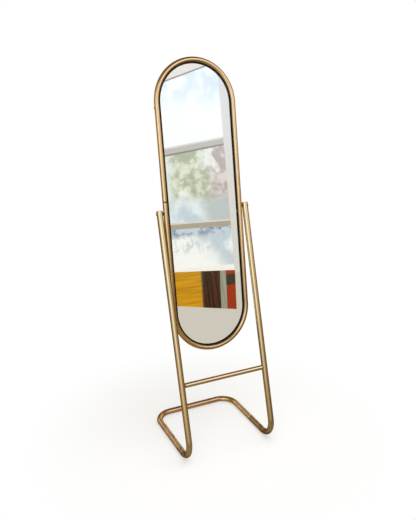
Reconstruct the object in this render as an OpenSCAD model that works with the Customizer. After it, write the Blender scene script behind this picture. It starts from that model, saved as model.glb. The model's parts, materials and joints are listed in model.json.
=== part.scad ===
// Floor mirror on a bent tube stand. An oval mirror in a round tube frame hangs between
// two uprights and tilts on two pivot bolts. The base is a U of the same tube.
// Millimetres. X runs across the mirror, Y to the back, Z up from the floor. The origin
// lies on the floor, under the middle of the base. The mirror faces -Y.

/* [Stand] */
// Distance between the centre lines of the two legs
leg_spacing = 380; // [340:5:420]
// Outer diameter of the leg and base tube
leg_tube_d = 25; // [23:0.5:28]
// Wall of the leg and base tube
leg_wall = 1.5; // [1:0.1:2]
// Angle by which the uprights lean back
leg_lean = 16; // [12:0.5:20]
// Straight length of an upright above its foot bend
leg_straight = 923.5; // [880:0.5:980]
// Centre line radius of the foot bends and the rear corners
bend_r = 70; // [50:1:85]
// How much thinner the wall is in a bend, on each side
bend_thinning = 0.05; // [0.02:0.01:0.1]
// Depth of the base from its foremost to its rear centre line
base_depth = 385; // [350:5:430]
// Place of the runner joint behind the foremost centre line
joint_back = 178; // [160:1:200]
// Width of the groove in the runner joint
joint_groove = 7; // [2:0.5:10]
// Length of the sleeve inside the runner joint
runner_sleeve_length = 80; // [50:1:100]
// Wall of that sleeve
runner_sleeve_wall = 2; // [1:0.1:3]

/* [Crossbar] */
// Outer diameter of the crossbar
bar_d = 20; // [16:0.5:22]
// Wall of the crossbar
bar_wall = 1; // [0.8:0.1:1.5]
// Height of the crossbar's centre line above the floor
bar_height = 320; // [240:5:340]
// Length of the dark collar between crossbar and upright
collar_length = 2.5; // [2:0.5:8]
// How far the collar lies below the crossbar's surface
collar_inset = 0.6; // [0.2:0.1:1.2]
// Length of the plug inside the crossbar
bar_plug_length = 20; // [12:1:40]

/* [Caps] */
// Thickness of a cap's head
cap_head = 2.5; // [2:0.1:4]
// Rounding of a cap's edge
cap_round = 1.5; // [0.5:0.1:1.8]
// Length of a cap's plug inside the upright
cap_plug = 4.5; // [3:0.1:5]

/* [Mirror frame] */
// Outer diameter of the frame tube
frame_tube_d = 20; // [18:0.5:22]
// Wall of the frame tube
frame_wall = 1; // [0.8:0.1:1.3]
// Outer height of the oval frame
frame_length = 1180; // [1080:10:1220]
// Space between the frame tube and each upright
side_gap = 3.5; // [3.2:0.1:6]
// Angle by which the mirror is tilted back at rest
rest_tilt = 9.2; // [0:0.1:15]
// Distance of the pivot below the top of the caps, along the upright
pivot_below_top = 13; // [13:0.5:20]
// Distance of the frame's centre above the pivot
centre_rise = 5; // [0:0.5:15]
// Height of the frame's seam above its centre
seam_up = 40; // [40:1:80]
// Gap in the frame tube at the seam
seam_gap = 1.5; // [0.5:0.1:3]
// Length of the joiner inside the seam
joiner_length = 64; // [40:1:66]
// Wall of the joiner
joiner_wall = 1.5; // [1:0.1:2]

/* [Glass and gasket] */
// Thickness of the mirror glass
glass_thickness = 4; // [3:0.5:5]
// Thickness of the silvering with its backing paint
silvering_thickness = 0.3; // [0.2:0.05:0.5]
// Thickness of the backing board
board_thickness = 2.5; // [2:0.5:4]
// How far the glass and its gasket sit behind the middle of the frame tube
glass_set = 2.2; // [0:0.1:2.4]
// How far the glass reaches into the frame tube
glass_bite = 2.8; // [1:0.1:3]
// Thickness of the gasket's lips and web
gasket_wall = 1.2; // [1:0.1:2]
// How far the gasket's lips stand out of the frame tube
lip_reach = 4.8; // [2:0.1:6]
// Length of the gasket's infill piece
infill_length = 6.5; // [4:0.5:20]
// Distance of the infill piece below the frame's centre
infill_down = 28.5; // [20:0.5:60]
// Gap above the infill piece
infill_gap_top = 2; // [0.5:0.1:4]
// Gap below the infill piece
infill_gap_bottom = 1.2; // [0.5:0.1:4]

/* [Pivot] */
// Diameter of a pivot bolt
pivot_bolt_d = 6; // [5:0.5:7]
// Diameter of a pivot bolt's head
pivot_head_d = 10; // [9:0.5:14]
// Height of a pivot bolt's head
pivot_head_h = 3; // [2:0.1:4]
// Wall of the sleeve that a pivot bolt turns in
pivot_sleeve_wall = 1.5; // [1:0.1:1.7]
// Diameter of the spacer between frame tube and upright
spacer_d = 15; // [12:0.5:18]
// Wall of the threaded insert in the frame tube
insert_wall = 1.5; // [1:0.1:2.5]
// Length of the threaded insert
insert_length = 12; // [8:0.5:13]
// Length of a pivot bolt inside its insert
bolt_engagement = 10; // [6:0.5:12]

/* [Small screws] */
// Diameter of a crossbar screw
bar_screw_d = 5; // [4:0.5:6]
// Diameter of a crossbar screw's head
bar_screw_head_d = 8.4; // [8:0.1:9]
// Height of a crossbar screw's head
bar_screw_head_h = 2.5; // [2:0.1:4]
// Length of a crossbar screw below its head
bar_screw_length = 24; // [14:1:40]
// Diameter of the access hole in the outer side of an upright
access_hole_d = 9.6; // [9.2:0.1:11]
// Diameter of the side screw in the frame
side_screw_d = 3.5; // [3:0.1:4.5]
// Diameter of the side screw's head
side_screw_head_d = 7.6; // [6:0.1:9]
// Height of the side screw's head
side_screw_head_h = 2.6; // [1.5:0.1:2.8]
// Length of the side screw below its head
side_screw_length = 12; // [6:0.5:14]
// Distance of the side screw below the frame's top
side_screw_down = 190; // [185:5:290]

/* [Clearances] */
// Radial running clearance of a pivot bolt in its sleeve
running_clearance = 0.05; // [0.02:0.01:0.1]
// Radial clearance of a plug, sleeve or screw in its hole
plug_clearance = 0.05; // [0.02:0.01:0.1]
// Gap between faces that slide on each other
seat_clearance = 0.3; // [0.2:0.05:0.5]
// Clearance on each side of the glass, the boards and the gasket
packing_clearance = 0.1; // [0.05:0.05:0.2]

/* [Hidden] */
$fn = 96;
cut = 1;
dome_share = 0.65;
slot_width_share = 0.16;
slot_depth_share = 0.4;

leg_r = leg_tube_d / 2;
leg_bore_r = leg_r - leg_wall;
frame_r = frame_tube_d / 2;
leg_x = leg_spacing / 2;

// The front centre line of the base lies at -base_depth / 2, so the base is centred.
front_y = -base_depth / 2;
rear_y = base_depth / 2;
bend_y = front_y + bend_r;
joint_y = front_y + joint_back;

// Where the foot bend ends and the straight upright begins.
upright_y = bend_y - bend_r * cos(leg_lean);
upright_z = leg_r + bend_r + bend_r * sin(leg_lean);

// A point on the upright's centre line, at a length above the foot bend.
function upright_point(along) =
    [leg_x, upright_y + along * sin(leg_lean), upright_z + along * cos(leg_lean)];

bar_along = (bar_height - upright_z) / cos(leg_lean);
bar_point = upright_point(bar_along);
bar_half = leg_x - leg_r - collar_length;

pivot_along = leg_straight + cap_head - pivot_below_top;
pivot_point = upright_point(pivot_along);
pivot_sleeve_d = pivot_bolt_d + 2 * running_clearance + 2 * pivot_sleeve_wall;

// The frame's centre line is an oval: two straight sides and two half circles.
frame_half = leg_x - leg_r - side_gap - frame_r;
frame_straight = frame_length / 2 - frame_r - frame_half;
frame_outer = frame_half + frame_r;
side_screw_up = frame_length / 2 - side_screw_down;
insert_d = pivot_bolt_d + 2 * plug_clearance + 2 * insert_wall;

// The insert's outer end stays inside the round surface of the frame tube.
insert_outer = frame_half + sqrt(frame_r * frame_r - insert_d * insert_d / 4);

stack = glass_thickness + silvering_thickness + board_thickness;
pocket_width = stack + 2 * packing_clearance;
gasket_width = pocket_width + 2 * gasket_wall;
slot_width = gasket_width + 2 * packing_clearance;
glass_r = frame_half - frame_r + glass_bite;
pocket_floor = -frame_r + glass_bite + packing_clearance;
lip_edge = -frame_r - lip_reach;

// ---- helpers ----

module ring(d, wall) {
    difference() {
        circle(d = d);
        circle(d = d - 2 * wall);
    }
}

module straight_tube(d, wall, length) {
    linear_extrude(length) ring(d, wall);
}

// Bending stretches the wall, so a bend is a little thinner than the straight tube.
module bent_tube(d, wall, r, angle) {
    rotate_extrude(angle = angle)
        translate([r, 0]) ring(d - 2 * bend_thinning, wall - 2 * bend_thinning);
}

// A cylinder along X that starts at x and has the given length.
module x_cylinder(x, length, d) {
    translate([x, 0, 0]) rotate([0, 90, 0]) cylinder(h = length, d = d);
}

// Places its children at the centre of the right foot bend, with Z along the upright.
module at_bend() {
    translate([leg_x, bend_y, leg_r + bend_r]) rotate([-leg_lean, 0, 0]) children();
}

// Places its children on the right upright's centre line, with Z along the upright.
module on_upright(along) {
    at_bend() translate([0, -bend_r, along]) children();
}

module left_side() {
    mirror([1, 0, 0]) children();
}

// Places its children in the mirror's own frame: origin on the pivot line, Z up the glass.
module in_mirror() {
    translate([0, pivot_point[1], pivot_point[2]]) rotate([-rest_tilt, 0, 0]) children();
}

// The same, with the origin in the middle of the oval.
module in_oval() {
    in_mirror() translate([0, 0, centre_rise]) children();
}

// Carries a section round the oval. The section's x points outwards from the centre line.
module around_oval() {
    for (side = [0, 1])
        mirror([side, 0, 0])
            translate([frame_half, 0, -frame_straight])
                linear_extrude(2 * frame_straight) children();
    for (end = [0, 1])
        mirror([0, 0, end])
            translate([0, 0, frame_straight])
                rotate([90, 0, 0])
                    rotate_extrude(angle = 180)
                        translate([frame_half, 0]) mirror([0, 1]) children();
}

// A flat oval plate whose front face lies at y.
module oval_plate(y, thickness) {
    translate([0, y + thickness, 0])
        rotate([90, 0, 0])
            linear_extrude(thickness) {
                square([2 * glass_r, 2 * frame_straight], center = true);
                for (end = [-1, 1])
                    translate([0, end * frame_straight]) circle(r = glass_r);
            }
}

// A domed screw head with a driver slot. It stands on z = 0 and has an upright rim.
module domed_head(d, h) {
    rise = h * dome_share;
    dome_r = (d * d / 4 + rise * rise) / (2 * rise);
    difference() {
        rotate_extrude()
            intersection() {
                translate([0, h - dome_r]) circle(r = dome_r);
                square([d / 2, h]);
            }
        translate([0, 0, h])
            cube([d + cut, slot_width_share * d, 2 * slot_depth_share * h], center = true);
    }
}

module frame_slot() {
    translate([-frame_tube_d, glass_set - slot_width / 2]) square([frame_tube_d, slot_width]);
}

module gasket_section() {
    nose = gasket_wall / 2;
    web = pocket_floor + gasket_wall;
    translate([0, glass_set]) difference() {
        union() {
            translate([lip_edge + nose, -gasket_width / 2])
                square([web - lip_edge - nose, gasket_width]);
            for (side = [-1, 1])
                translate([lip_edge + nose, side * (gasket_width / 2 - nose)])
                    circle(r = nose);
        }
        translate([lip_edge - cut, -pocket_width / 2])
            square([pocket_floor - lip_edge + cut, pocket_width]);
    }
}

// ---- stand ----

// A half turn of bent tube, cut off square where the straight upright begins.
module foot_bend() {
    difference() {
        translate([leg_x, bend_y, leg_r + bend_r])
            rotate([0, 90, 0])
                rotate([0, 0, 180]) bent_tube(leg_tube_d, leg_wall, bend_r, 180);
        at_bend()
            translate([-leg_tube_d, -2 * bend_r, 0])
                cube([2 * leg_tube_d, 4 * bend_r, 2 * bend_r]);
    }
}

module leg_tube() {
    runner = joint_back - joint_groove / 2 - bend_r;
    color("darkgoldenrod") difference() {
        union() {
            on_upright(0) straight_tube(leg_tube_d, leg_wall, leg_straight);
            foot_bend();
            translate([leg_x, bend_y, leg_r])
                rotate([-90, 0, 0]) straight_tube(leg_tube_d, leg_wall, runner);
        }
        translate([0, pivot_point[1], pivot_point[2]])
            x_cylinder(leg_x - leg_r - cut, leg_tube_d + 2 * cut,
                pivot_sleeve_d + 2 * plug_clearance);
        translate([0, bar_point[1], bar_point[2]]) {
            x_cylinder(leg_x - leg_r - cut, leg_r + cut, bar_screw_d + 2 * plug_clearance);
            x_cylinder(leg_x, leg_r + cut, access_hole_d);
        }
    }
}

module left_leg_tube() {
    left_side() leg_tube();
}

module right_leg_tube() {
    leg_tube();
}

module rear_base_tube() {
    corner_x = leg_x - bend_r;
    corner_y = rear_y - bend_r;
    arm_y = joint_y + joint_groove / 2;
    color("peru") translate([0, 0, leg_r]) {
        for (side = [0, 1])
            mirror([side, 0, 0]) {
                translate([leg_x, arm_y, 0])
                    rotate([-90, 0, 0])
                        straight_tube(leg_tube_d, leg_wall, corner_y - arm_y);
                translate([corner_x, corner_y, 0])
                    bent_tube(leg_tube_d, leg_wall, bend_r, 90);
            }
        translate([-corner_x, rear_y, 0])
            rotate([0, 90, 0]) straight_tube(leg_tube_d, leg_wall, 2 * corner_x);
    }
}

module runner_sleeve() {
    color("goldenrod")
        translate([leg_x, joint_y - runner_sleeve_length / 2, leg_r])
            rotate([-90, 0, 0])
                straight_tube(2 * (leg_bore_r - plug_clearance), runner_sleeve_wall,
                    runner_sleeve_length);
}

module left_runner_sleeve() {
    left_side() runner_sleeve();
}

module right_runner_sleeve() {
    runner_sleeve();
}

module crossbar_tube() {
    color("darkgoldenrod")
        translate([-bar_half, bar_point[1], bar_point[2]])
            rotate([0, 90, 0]) straight_tube(bar_d, bar_wall, 2 * bar_half);
}

module crossbar_plug() {
    color("dimgray") difference() {
        translate([0, bar_point[1], bar_point[2]]) difference() {
            union() {
                x_cylinder(bar_half, collar_length + leg_r, bar_d - 2 * collar_inset);
                x_cylinder(bar_half - bar_plug_length, bar_plug_length + cut,
                    bar_d - 2 * bar_wall - 2 * plug_clearance);
            }
            x_cylinder(bar_half - bar_plug_length - cut, bar_plug_length + leg_tube_d,
                bar_screw_d + 2 * plug_clearance);
        }
        on_upright(bar_along)
            cylinder(h = 2 * leg_tube_d, d = leg_tube_d + 2 * plug_clearance, center = true);
    }
}

module left_crossbar_plug() {
    left_side() crossbar_plug();
}

module right_crossbar_plug() {
    crossbar_plug();
}

// The screws' heads rest inside the uprights, on the curved wall that faces the crossbar.
module crossbar_screws() {
    head_r = bar_screw_head_d / 2;
    seat_x = leg_x - sqrt(leg_bore_r * leg_bore_r - head_r * head_r) + plug_clearance;
    color("gray") for (side = [0, 1])
        mirror([side, 0, 0])
            translate([0, bar_point[1], bar_point[2]]) {
                translate([seat_x, 0, 0])
                    rotate([0, 90, 0]) domed_head(bar_screw_head_d, bar_screw_head_h);
                x_cylinder(seat_x - bar_screw_length, bar_screw_length, bar_screw_d);
            }
}

module top_cap() {
    color("gold") on_upright(leg_straight) {
        rotate_extrude() {
            square([leg_r - cap_round, cap_head]);
            square([leg_r, cap_head - cap_round]);
            translate([leg_r - cap_round, cap_head - cap_round])
                intersection() {
                    circle(r = cap_round);
                    square(cap_round);
                }
        }
        translate([0, 0, -cap_plug])
            cylinder(h = cap_plug, r = leg_bore_r - plug_clearance);
    }
}

module left_top_cap() {
    left_side() top_cap();
}

module right_top_cap() {
    top_cap();
}

module pivot_sleeve() {
    color("gray") translate([0, pivot_point[1], pivot_point[2]]) difference() {
        x_cylinder(leg_x - leg_r, leg_tube_d, pivot_sleeve_d);
        x_cylinder(leg_x - leg_r - cut, leg_tube_d + 2 * cut,
            pivot_bolt_d + 2 * running_clearance);
    }
}

module left_pivot_sleeve() {
    left_side() pivot_sleeve();
}

module right_pivot_sleeve() {
    pivot_sleeve();
}

// ---- mirror ----

module frame_tube() {
    color("goldenrod") in_oval() difference() {
        around_oval() difference() {
            ring(frame_tube_d, frame_wall);
            frame_slot();
        }
        translate([-frame_half, 0, seam_up])
            cube([frame_tube_d + cut, frame_tube_d + cut, seam_gap], center = true);
        for (side = [0, 1])
            mirror([side, 0, 0])
                translate([0, 0, -centre_rise])
                    x_cylinder(frame_half, frame_r + cut, insert_d + 2 * plug_clearance);
        left_side()
            translate([0, 0, side_screw_up])
                x_cylinder(frame_half, frame_r + cut, side_screw_d + 2 * plug_clearance);
    }
}

module frame_joiner() {
    color("darkgoldenrod") in_oval()
        left_side()
            translate([frame_half, 0, seam_up - joiner_length / 2])
                linear_extrude(joiner_length)
                    difference() {
                        ring(2 * (frame_r - frame_wall - plug_clearance), joiner_wall);
                        frame_slot();
                    }
}

module frame_side_screw() {
    color("gray") in_oval()
        left_side()
            translate([frame_outer, 0, side_screw_up]) {
                rotate([0, 90, 0]) domed_head(side_screw_head_d, side_screw_head_h);
                x_cylinder(-side_screw_length, side_screw_length, side_screw_d);
            }
}

module pivot_insert() {
    color("gray") in_mirror() difference() {
        x_cylinder(insert_outer - insert_length, insert_length, insert_d);
        x_cylinder(insert_outer - insert_length - cut, insert_length + 2 * cut,
            pivot_bolt_d + 2 * plug_clearance);
    }
}

module left_pivot_insert() {
    left_side() pivot_insert();
}

module right_pivot_insert() {
    pivot_insert();
}

module pivot_bolt() {
    head_x = leg_x + leg_r + seat_clearance;
    tip_x = insert_outer - bolt_engagement;
    color("goldenrod") in_mirror() {
        translate([head_x, 0, 0]) rotate([0, 90, 0]) domed_head(pivot_head_d, pivot_head_h);
        x_cylinder(tip_x, head_x - tip_x, pivot_bolt_d);
    }
}

module left_pivot_bolt() {
    left_side() pivot_bolt();
}

module right_pivot_bolt() {
    pivot_bolt();
}

// The spacer's inner side is a saddle that embraces the frame tube.
module pivot_spacer() {
    face_x = leg_x - leg_r - seat_clearance;
    color("saddlebrown") in_mirror() difference() {
        x_cylinder(frame_half, face_x - frame_half, spacer_d);
        translate([frame_half, 0, 0])
            cylinder(h = 2 * spacer_d, d = frame_tube_d + 2 * plug_clearance, center = true);
        x_cylinder(frame_half, leg_tube_d, pivot_bolt_d + 2 * plug_clearance);
    }
}

module left_pivot_spacer() {
    left_side() pivot_spacer();
}

module right_pivot_spacer() {
    pivot_spacer();
}

module mirror_glass() {
    color("lightblue") in_oval() oval_plate(glass_set - stack / 2, glass_thickness);
}

module silvering() {
    color("silver") in_oval()
        oval_plate(glass_set - stack / 2 + glass_thickness, silvering_thickness);
}

module backing_board() {
    color("sienna") in_oval() oval_plate(glass_set + stack / 2 - board_thickness, board_thickness);
}

module gasket_channel() {
    gap_length = infill_length + infill_gap_top + infill_gap_bottom;
    gap_middle = -infill_down + (infill_gap_top - infill_gap_bottom) / 2;
    color("black") in_oval() difference() {
        around_oval() gasket_section();
        translate([frame_half - frame_r, 0, gap_middle])
            cube([frame_tube_d, frame_tube_d, gap_length], center = true);
    }
}

module gasket_infill() {
    color("black") in_oval()
        translate([frame_half, 0, -infill_down - infill_length / 2])
            linear_extrude(infill_length) gasket_section();
}

// ---- nodes ----

left_leg_tube();
right_leg_tube();
rear_base_tube();
left_runner_sleeve();
right_runner_sleeve();
crossbar_tube();
left_crossbar_plug();
right_crossbar_plug();
crossbar_screws();
left_top_cap();
right_top_cap();
left_pivot_sleeve();
right_pivot_sleeve();
frame_tube();
frame_joiner();
frame_side_screw();
left_pivot_insert();
right_pivot_insert();
left_pivot_bolt();
right_pivot_bolt();
left_pivot_spacer();
right_pivot_spacer();
mirror_glass();
silvering();
backing_board();
gasket_channel();
gasket_infill();
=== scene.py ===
"""Looks for an oval floor mirror that tilts between two brass tube legs.

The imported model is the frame. This script gives every piece its finish, replaces the
silvering by a plate of its own, and sets up the floor, the lamps and the camera.
All lengths are metres. X is the viewer's right, Y is the back, Z is up.
"""

import json
import math

import bmesh
import bpy
import numpy as np
from mathutils import Matrix, Vector


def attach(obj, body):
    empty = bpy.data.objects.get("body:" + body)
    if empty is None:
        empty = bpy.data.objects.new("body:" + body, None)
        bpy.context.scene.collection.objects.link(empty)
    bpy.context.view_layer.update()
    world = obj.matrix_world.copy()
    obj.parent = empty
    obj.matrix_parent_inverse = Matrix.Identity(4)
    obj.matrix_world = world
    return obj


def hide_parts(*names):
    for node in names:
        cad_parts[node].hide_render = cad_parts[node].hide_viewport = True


bl_info = {
    "name": "Floor Mirror Finishes",
    "version": (1, 0, 0),
    "blender": (4, 5, 0),
    "location": "3D View > Sidebar > Floor Mirror",
    "description": "Finishes, mirror plate and studio of an oval floor mirror on tube legs",
    "category": "Object",
}

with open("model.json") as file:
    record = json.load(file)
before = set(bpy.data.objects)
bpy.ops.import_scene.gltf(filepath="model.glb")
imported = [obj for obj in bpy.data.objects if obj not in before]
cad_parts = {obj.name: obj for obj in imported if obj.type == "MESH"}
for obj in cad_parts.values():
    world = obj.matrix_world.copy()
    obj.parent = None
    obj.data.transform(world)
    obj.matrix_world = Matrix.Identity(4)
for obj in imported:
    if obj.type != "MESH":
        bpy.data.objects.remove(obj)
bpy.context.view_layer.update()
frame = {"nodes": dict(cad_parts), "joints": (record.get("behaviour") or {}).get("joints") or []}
NODES = frame["nodes"]

# The mirror's pivot, and its own right, up and back at rest, by the lean of the glass.
PIVOT = np.array(frame["joints"][0]["pos_m"])
LEAN = math.radians(9.2)
MIRROR_UP = np.array((0.0, math.sin(LEAN), math.cos(LEAN)))
MIRROR_BACK = np.array((0.0, math.cos(LEAN), -math.sin(LEAN)))
MIRROR_AXES = np.array(((1.0, 0.0, 0.0), MIRROR_UP, MIRROR_BACK))

# Middle of the groove in the runners, and the frame's seam above the pivot.
JOINT_Y = -0.0145
SEAM_UP = 0.045

# The silver plate: points round one ring, how far the rings of its front and its back
# lie inside its edge, and the length within which two points count as one.
RING_POINTS = 160
FRONT_INSETS = (0.012, 0.006, 0.003, 0.0)
BACK_INSETS = (0.0, 0.003)
SEAM_WIDTH = 2e-6

WHITE = (1.0, 1.0, 1.0)


# ---- sizes and colours


def colour(text, default):
    """A colour setting, linear red, green and blue."""
    return bpy.props.FloatVectorProperty(name=text, description=text, default=default,
                                         subtype="COLOR", size=3, min=0.0, max=1.0)


def number(text, default, high=20.0, kind="DISTANCE", low=0.0):
    """A setting of one number, in metres unless kind is an angle, a power or a share."""
    return bpy.props.FloatProperty(name=text, description=text, default=default,
                                   min=low, max=high, subtype=kind, precision=5)


def angle(text, default):
    """An angle setting, given in degrees and stored in radians."""
    return number(text, math.radians(default), math.pi, "ANGLE", -math.pi)


class FloorMirrorFinish(bpy.types.PropertyGroup):
    """Colours and wear of the brass, the rubber, the glass and the board."""

    fresh_brass: colour("Polished brass where it is clean", (0.84, 0.66, 0.36))
    aged_brass: colour("Olive brown film on old brass", (0.385, 0.290, 0.150))
    copper_brass: colour("Pinkish patches where the plate is thin", (0.62, 0.38, 0.23))
    frame_fresh: colour("Clean brass of the oval frame", (0.84, 0.588, 0.287))
    bar_fresh: colour("Bright clean brass of the crossbar", (1.0, 0.80, 0.46))
    base_fresh: colour("Pinkish worn brass of the rear base", (0.93, 0.65, 0.36))
    rubbed: colour("Streaks where the runners are rubbed", (0.98, 0.74, 0.54))
    stain: colour("Red brown stains on the runners", (0.17, 0.075, 0.045))
    film: colour("Olive film on the right front runner", (0.35, 0.25, 0.10))
    edge_tint: colour("Metal seen at a low angle", (0.34, 0.22, 0.11))
    rubber: colour("Black gasket rubber", (0.005, 0.005, 0.0055))
    board: colour("Brown hardboard", (0.26, 0.155, 0.085))
    board_dark: colour("Darker fibres in the board", (0.13, 0.072, 0.038))
    spacer: colour("Brown fibre washer", (0.075, 0.035, 0.017))
    plug: colour("Dark brown plastic plug", (0.150, 0.098, 0.055))
    # This colour also paints the glints on the lips of the runners' joints.
    sleeve: colour("Clean pale brass inside the joints", (0.96, 0.73, 0.34))
    # Painted shade: darkens the runners' joint grooves and the frame's seam, and colours the
    # spigot in that seam.
    joint_shade: colour("Dirt in the joints", (0.050, 0.020, 0.010))
    steel: colour("Plain screw steel", (0.46, 0.44, 0.41))
    silver: colour("Mirror silver", (0.97, 0.975, 0.972))
    backing_paint: colour("Paint over the silver", (0.17, 0.12, 0.09))
    leg_age: number("Tarnish all over the legs", 0.05, 1.0, "FACTOR")
    base_age: number("Tarnish all over the rear base tube", 0.05, 1.0, "FACTOR")


class FloorMirrorSizes(bpy.types.PropertyGroup):
    """Lengths of the mirror plate and the reach of the tarnish."""

    silver_gap: number("Gap between glass and silver plate", 0.00012)
    silver_back_gap: number("Gap between silver plate and board", 0.00003)
    silver_margin: number("How far the plate ends inside the glass edge", 0.0001)
    clean_height: number("Height where the legs' tarnish has faded", 0.95)
    frame_clean_height: number("Height where the frame's tarnish has faded", 1.30)
    frame_clean_below: number("Height under which the frame is rubbed clean", 0.45)


class FloorMirrorStudio(bpy.types.PropertyGroup):
    """The camera, the floor and the lamps."""

    camera_place: bpy.props.FloatVectorProperty(
        name="Where the camera stands", default=(-1.0023, -2.0691, 1.5037), size=3,
        subtype="TRANSLATION")
    camera_yaw: angle("Turn of the view to the right", 25.59)
    camera_pitch: angle("How far the view looks down", 17.40)
    camera_roll: angle("Roll of the view", -0.26)
    camera_focal: number("Focal length of the lens", 0.041203)
    floor_colour: colour("Pale floor", (0.94, 0.935, 0.922))
    floor_size: number("Half the width of the floor", 9.0)
    world_fill: number("Plain light that falls from all around", 0.62, 1.0, "FACTOR")
    key_power: number("Power of the large soft lamp", 50.0, 500.0, "POWER")
    fill_power: number("Power of the lamp beside the camera", 30.0, 500.0, "POWER")


SETTINGS = (
    ("floor_mirror_finish", FloorMirrorFinish),
    ("floor_mirror_sizes", FloorMirrorSizes),
    ("floor_mirror_studio", FloorMirrorStudio),
)


# ---- node helpers


class Nodes:
    """Writes shader nodes into one tree. end is the node whose inputs set fills."""

    def __init__(self, tree, end):
        self.tree, self.end = tree, end

    def fill(self, made, inputs):
        """Links or sets a node's inputs. A plain colour gets full alpha."""
        for key, value in inputs.items():
            socket = made.inputs[key]
            if isinstance(value, bpy.types.NodeSocket):
                self.tree.links.new(value, socket)
            else:
                socket.default_value = (*value, 1.0) if socket.type == "RGBA" else value
        return made

    def set(self, inputs):
        """Fills the inputs of the end node."""
        self.fill(self.end, inputs)
        return self

    def add(self, kind, inputs=None, **settings):
        """Adds a node, sets its settings, then fills its inputs."""
        made = self.tree.nodes.new("ShaderNode" + kind)
        for key, value in settings.items():
            setattr(made, key, value)
        return self.fill(made, inputs or {})

    def effect(self, name, inputs):
        """Places a shared effect with its own values and gives its outputs."""
        return self.add("Group", inputs, node_tree=bpy.data.node_groups[name]).outputs

    def maths(self, operation, first, second=0.0, clamp=False):
        """One Math node's result."""
        return self.add("Math", {0: first, 1: second}, operation=operation,
                        use_clamp=clamp).outputs[0]

    def plus(self, first, second, clamp=False):
        """The sum of two values."""
        return self.maths("ADD", first, second, clamp)

    def minus(self, first, second, clamp=False):
        """The difference of two values."""
        return self.maths("SUBTRACT", first, second, clamp)

    def times(self, *factors, clamp=False):
        """The product of two or more values, of which the last step may be clamped."""
        product = factors[0]
        for count, factor in enumerate(factors[1:], 2):
            product = self.maths("MULTIPLY", product, factor,
                                 clamp and count == len(factors))
        return product

    def vector(self, operation, first, second=(0.0, 0.0, 0.0)):
        """One Vector Math node's result, a number for a dot product or a length."""
        made = self.add("VectorMath", {0: first, 1: second}, operation=operation)
        return made.outputs["Value" if operation in ("DOT_PRODUCT", "LENGTH") else "Vector"]

    def split(self, vector):
        """The three parts of a vector."""
        return self.add("SeparateXYZ", {0: vector}).outputs

    @property
    def place(self):
        """Each point's place, in metres."""
        return self.add("TexCoord").outputs["Object"]

    @property
    def facing(self):
        """How far a face looks up: 1 up, 0 sideways, -1 down."""
        return self.split(self.add("TexCoord").outputs["Normal"])[2]

    @property
    def seen(self):
        """1 for what the camera, the metal and the glass see, 0 for other light."""
        path = self.add("LightPath").outputs
        other = self.maths("MAXIMUM", path["Is Glossy Ray"], path["Is Transmission Ray"])
        return self.maths("MAXIMUM", path["Is Camera Ray"], other)

    def mapped(self, scale, turn=(0.0, 0.0, 0.0), shift=(0.0, 0.0, 0.0), place=None):
        """A place scaled along each axis, turned and shifted."""
        return self.add("Mapping", {
            "Vector": self.place if place is None else place, "Location": shift,
            "Rotation": turn, "Scale": scale}).outputs[0]

    def ramp(self, value, low, high, to_low=0.0, to_high=1.0, smooth=True):
        """Runs a value from low..high to to_low..to_high, held at both ends. With low
        above high it falls."""
        return self.add("MapRange", {0: value, 1: low, 2: high, 3: to_low, 4: to_high},
                        interpolation_type="SMOOTHSTEP" if smooth else "LINEAR",
                        clamp=True).outputs[0]

    def between(self, value, first, second):
        """Runs evenly from the first number to the second as a value goes from 0 to 1."""
        return self.ramp(value, 0.0, 1.0, first, second, False)

    def noise(self, scale, detail=2.0, roughness=0.5, distortion=0.0, place=None):
        """Even noise, about 0.5 on average."""
        return self.add("TexNoise", {
            "Vector": self.place if place is None else place, "Scale": scale,
            "Detail": detail, "Roughness": roughness, "Distortion": distortion}).outputs[0]

    def blend(self, part, first, second, kind="MIX"):
        """Mixes two colours, of which part is the share of the second."""
        return self.add("Mix", {0: part, 6: first, 7: second}, data_type="RGBA",
                        blend_type=kind).outputs[2]

    def tones(self, value, low, high, first, second):
        """Runs from one colour to another as a value goes from low to high."""
        return self.blend(self.ramp(value, low, high), first, second)

    def bump(self, height, strength, distance):
        """The direction of a surface with a little relief."""
        return self.add("Bump", {
            "Strength": strength, "Distance": distance, "Height": height}).outputs[0]


class Paint(Nodes):
    """A material that ends in one shader."""

    def __init__(self, name, kind="BsdfPrincipled"):
        self.material = bpy.data.materials.new(name)
        self.material.use_nodes = True
        tree = self.material.node_tree
        tree.nodes.clear()
        super().__init__(tree, tree.nodes.new("ShaderNode" + kind))
        self.out = self.add("OutputMaterial", {0: self.end.outputs[0]})

    def mix_out(self, part, first, second):
        """Puts a mix of two shaders at the material's end."""
        mix = self.add("MixShader", {0: part, 1: first.outputs[0], 2: second.outputs[0]})
        self.fill(self.out, {0: mix.outputs[0]})

    def give(self, *names):
        """Puts the material on CAD nodes, in place of the plain one each came with."""
        for name in names:
            mesh = NODES[name].data
            if not mesh.materials:
                mesh.materials.append(self.material)
            for slot in range(len(mesh.materials)):
                mesh.materials[slot] = self.material


class Effect(Nodes):
    """A shared shader group. Its inputs and outputs are numbers, unless KINDS says more
    about their names."""

    KINDS = {"Place": "Vector", **dict.fromkeys(
        ("Colour", "Fresh", "Aged", "Coppery", "Metal", "Rubbed", "Stain", "Film"), "Color")}

    def __init__(self, name, inputs, outputs):
        tree = bpy.data.node_groups.new(name, "ShaderNodeTree")
        for side, labels in (("INPUT", inputs), ("OUTPUT", outputs)):
            for label in labels:
                kind = "NodeSocket" + self.KINDS.get(label, "Float")
                tree.interface.new_socket(name=label, in_out=side, socket_type=kind)
        super().__init__(tree, tree.nodes.new("NodeGroupOutput"))
        self.given = tree.nodes.new("NodeGroupInput").outputs


# ---- shared effects

# Order of the seven numbers that describe how a piece of brass has worn. The underside
# one darkens faces that look down, partly as tarnish and partly as painted shade.
WEAR = ("Age", "Low Age", "Drifts", "Underside Film And Shade", "Copper Share", "Pits", "Scratches")


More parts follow.
